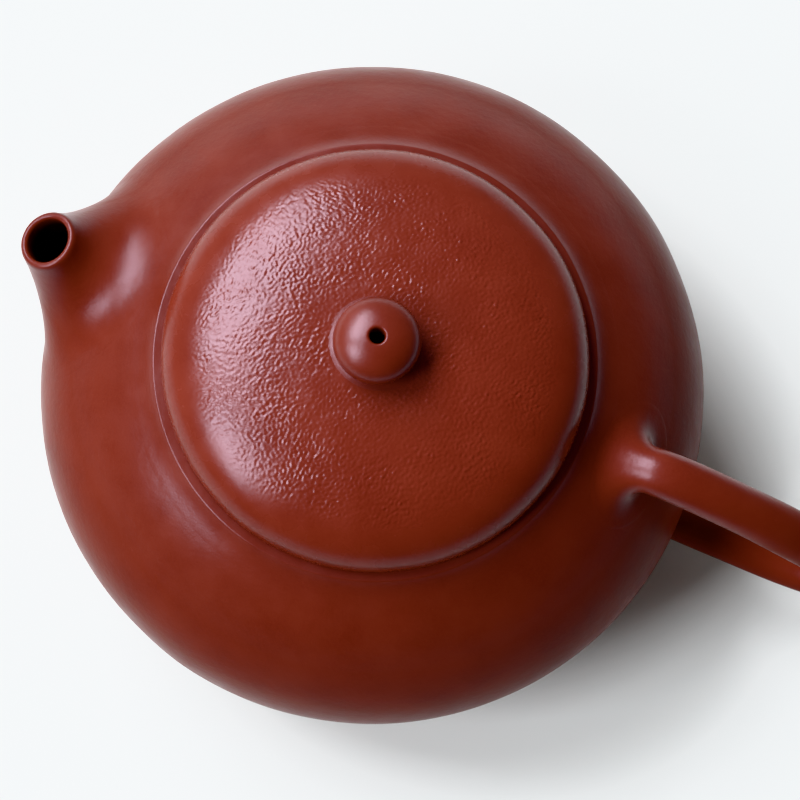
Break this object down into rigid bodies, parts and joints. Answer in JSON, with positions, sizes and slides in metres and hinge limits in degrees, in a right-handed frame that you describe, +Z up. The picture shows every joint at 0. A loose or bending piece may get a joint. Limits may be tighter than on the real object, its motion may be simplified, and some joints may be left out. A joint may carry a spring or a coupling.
{
  "type": "teapot",
  "caption": "Small round red clay teapot with a low domed lid, a round vented knob, a short spout that grows out of the shoulder and an ear handle.",
  "frame": {"origin": "on the pot's axis, in the plane of the foot ring's underside, where the pot stands", "axes": "+Z up along the pot's axis, +X from the axis towards the spout, so the handle is on -X and the XZ plane is the pot's plane of symmetry"},
  "size_m": [0.1222, 0.09, 0.0637],
  "materials": {
    "burnished_clay": "satin, burnished unglazed red clay",
    "wrinkled_clay": "satin, finely wrinkled unglazed red clay",
    "raw_clay": "matt, unburnished red clay"
  },
  "bodies": {
    "pot": {"body_wall": "burnished_clay", "shoulder_disc": "burnished_clay", "base_plate": "burnished_clay", "foot_ring": "burnished_clay", "mouth_ring": "burnished_clay", "spout": "burnished_clay", "ball_strainer": "raw_clay", "handle": "burnished_clay"},
    "lid_seat": {"lid_plate": "burnished_clay", "lid_flange": "raw_clay"},
    "lid": {"lid_dome": "wrinkled_clay", "knob": "burnished_clay"}
  },
  "joints": [
    {"name": "lid_lift", "type": "slide", "parent": "pot", "child": "lid_seat", "axis": [0, 0, 1], "range_m": [0, 0.06]},
    {"name": "lid_turn", "type": "hinge", "parent": "lid_seat", "child": "lid", "pos_m": [0, 0, 0.0477], "axis": [0, 0, 1], "continuous": true}
  ]
}
